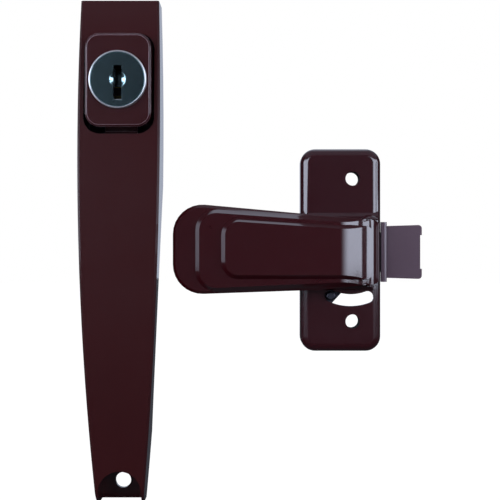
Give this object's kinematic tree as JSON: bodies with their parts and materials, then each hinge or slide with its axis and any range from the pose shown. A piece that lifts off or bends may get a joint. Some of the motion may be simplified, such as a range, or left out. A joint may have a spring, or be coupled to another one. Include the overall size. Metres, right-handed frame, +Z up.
{
  "type": "screen door latch",
  "caption": "Screen door latch: bowed outside pull with a keyed push button, and an inside plate with a tiered lever, hinged bolt and sliding night lock.",
  "frame": {"origin": "midway between the inside plate's two screw holes, on the door face", "axes": "the door face is the plane y = 0, -Y points from the door to the person in front of it, +Z up, +X towards the bolt's tip"},
  "size_m": [0.1054, 0.0692, 0.1546],
  "materials": {
    "handle_paint": "gloss",
    "button_paint": "gloss",
    "plate_paint": "gloss",
    "lever_paint": "gloss",
    "bolt_metal": "gloss",
    "steel": "satin",
    "chrome": "polished",
    "brass": "satin"
  },
  "bodies": {
    "door_side": {"pull_handle": "handle_paint", "mounting_post_upper": "steel", "mounting_post_lower": "steel", "retainer_plate": "steel", "retainer_screws": "steel", "button_springs": "steel", "base_plate": "plate_paint", "pivot_pin": "plate_paint", "lever_spring": "steel", "wave_washer": "steel"},
    "button": {"push_button": "button_paint", "lock_cylinder": "chrome", "cylinder_nut": "steel", "button_carrier": "steel", "carrier_screws": "steel", "push_rod": "steel"},
    "plug": {"key_plug": "chrome", "lock_wafers": "brass", "lock_cam": "steel", "cam_screw": "steel"},
    "lever": {"latch_lever": "lever_paint", "latch_bolt": "bolt_metal", "bolt_rivets": "steel"},
    "night_lock": {"night_lock_disc": "steel", "night_lock_knob": "steel", "lock_ring": "steel"}
  },
  "joints": [
    {"name": "button_press", "type": "slide", "parent": "door_side", "child": "button", "axis": [0, 1, 0], "range_m": [0, 0.005], "stiffness_N_per_m": 900, "deforming": ["button_springs"]},
    {"name": "key_turn", "type": "hinge", "parent": "button", "child": "plug", "pos_m": [-0.0718, 0, 0.0514], "axis": [0, -1, 0], "range_deg": [0, 90]},
    {"name": "lever_swing", "type": "hinge", "parent": "door_side", "child": "lever", "pos_m": [0.0048, -0.0132, 0], "axis": [0, 0, 1], "range_deg": [0, 22], "stiffness_Nm_per_rad": 0.02, "deforming": ["lever_spring"]},
    {"name": "night_lock_turn", "type": "hinge", "parent": "door_side", "child": "night_lock", "pos_m": [-0.0006, 0, -0.0006], "axis": [0, -1, 0], "range_deg": [0, 45]}
  ]
}
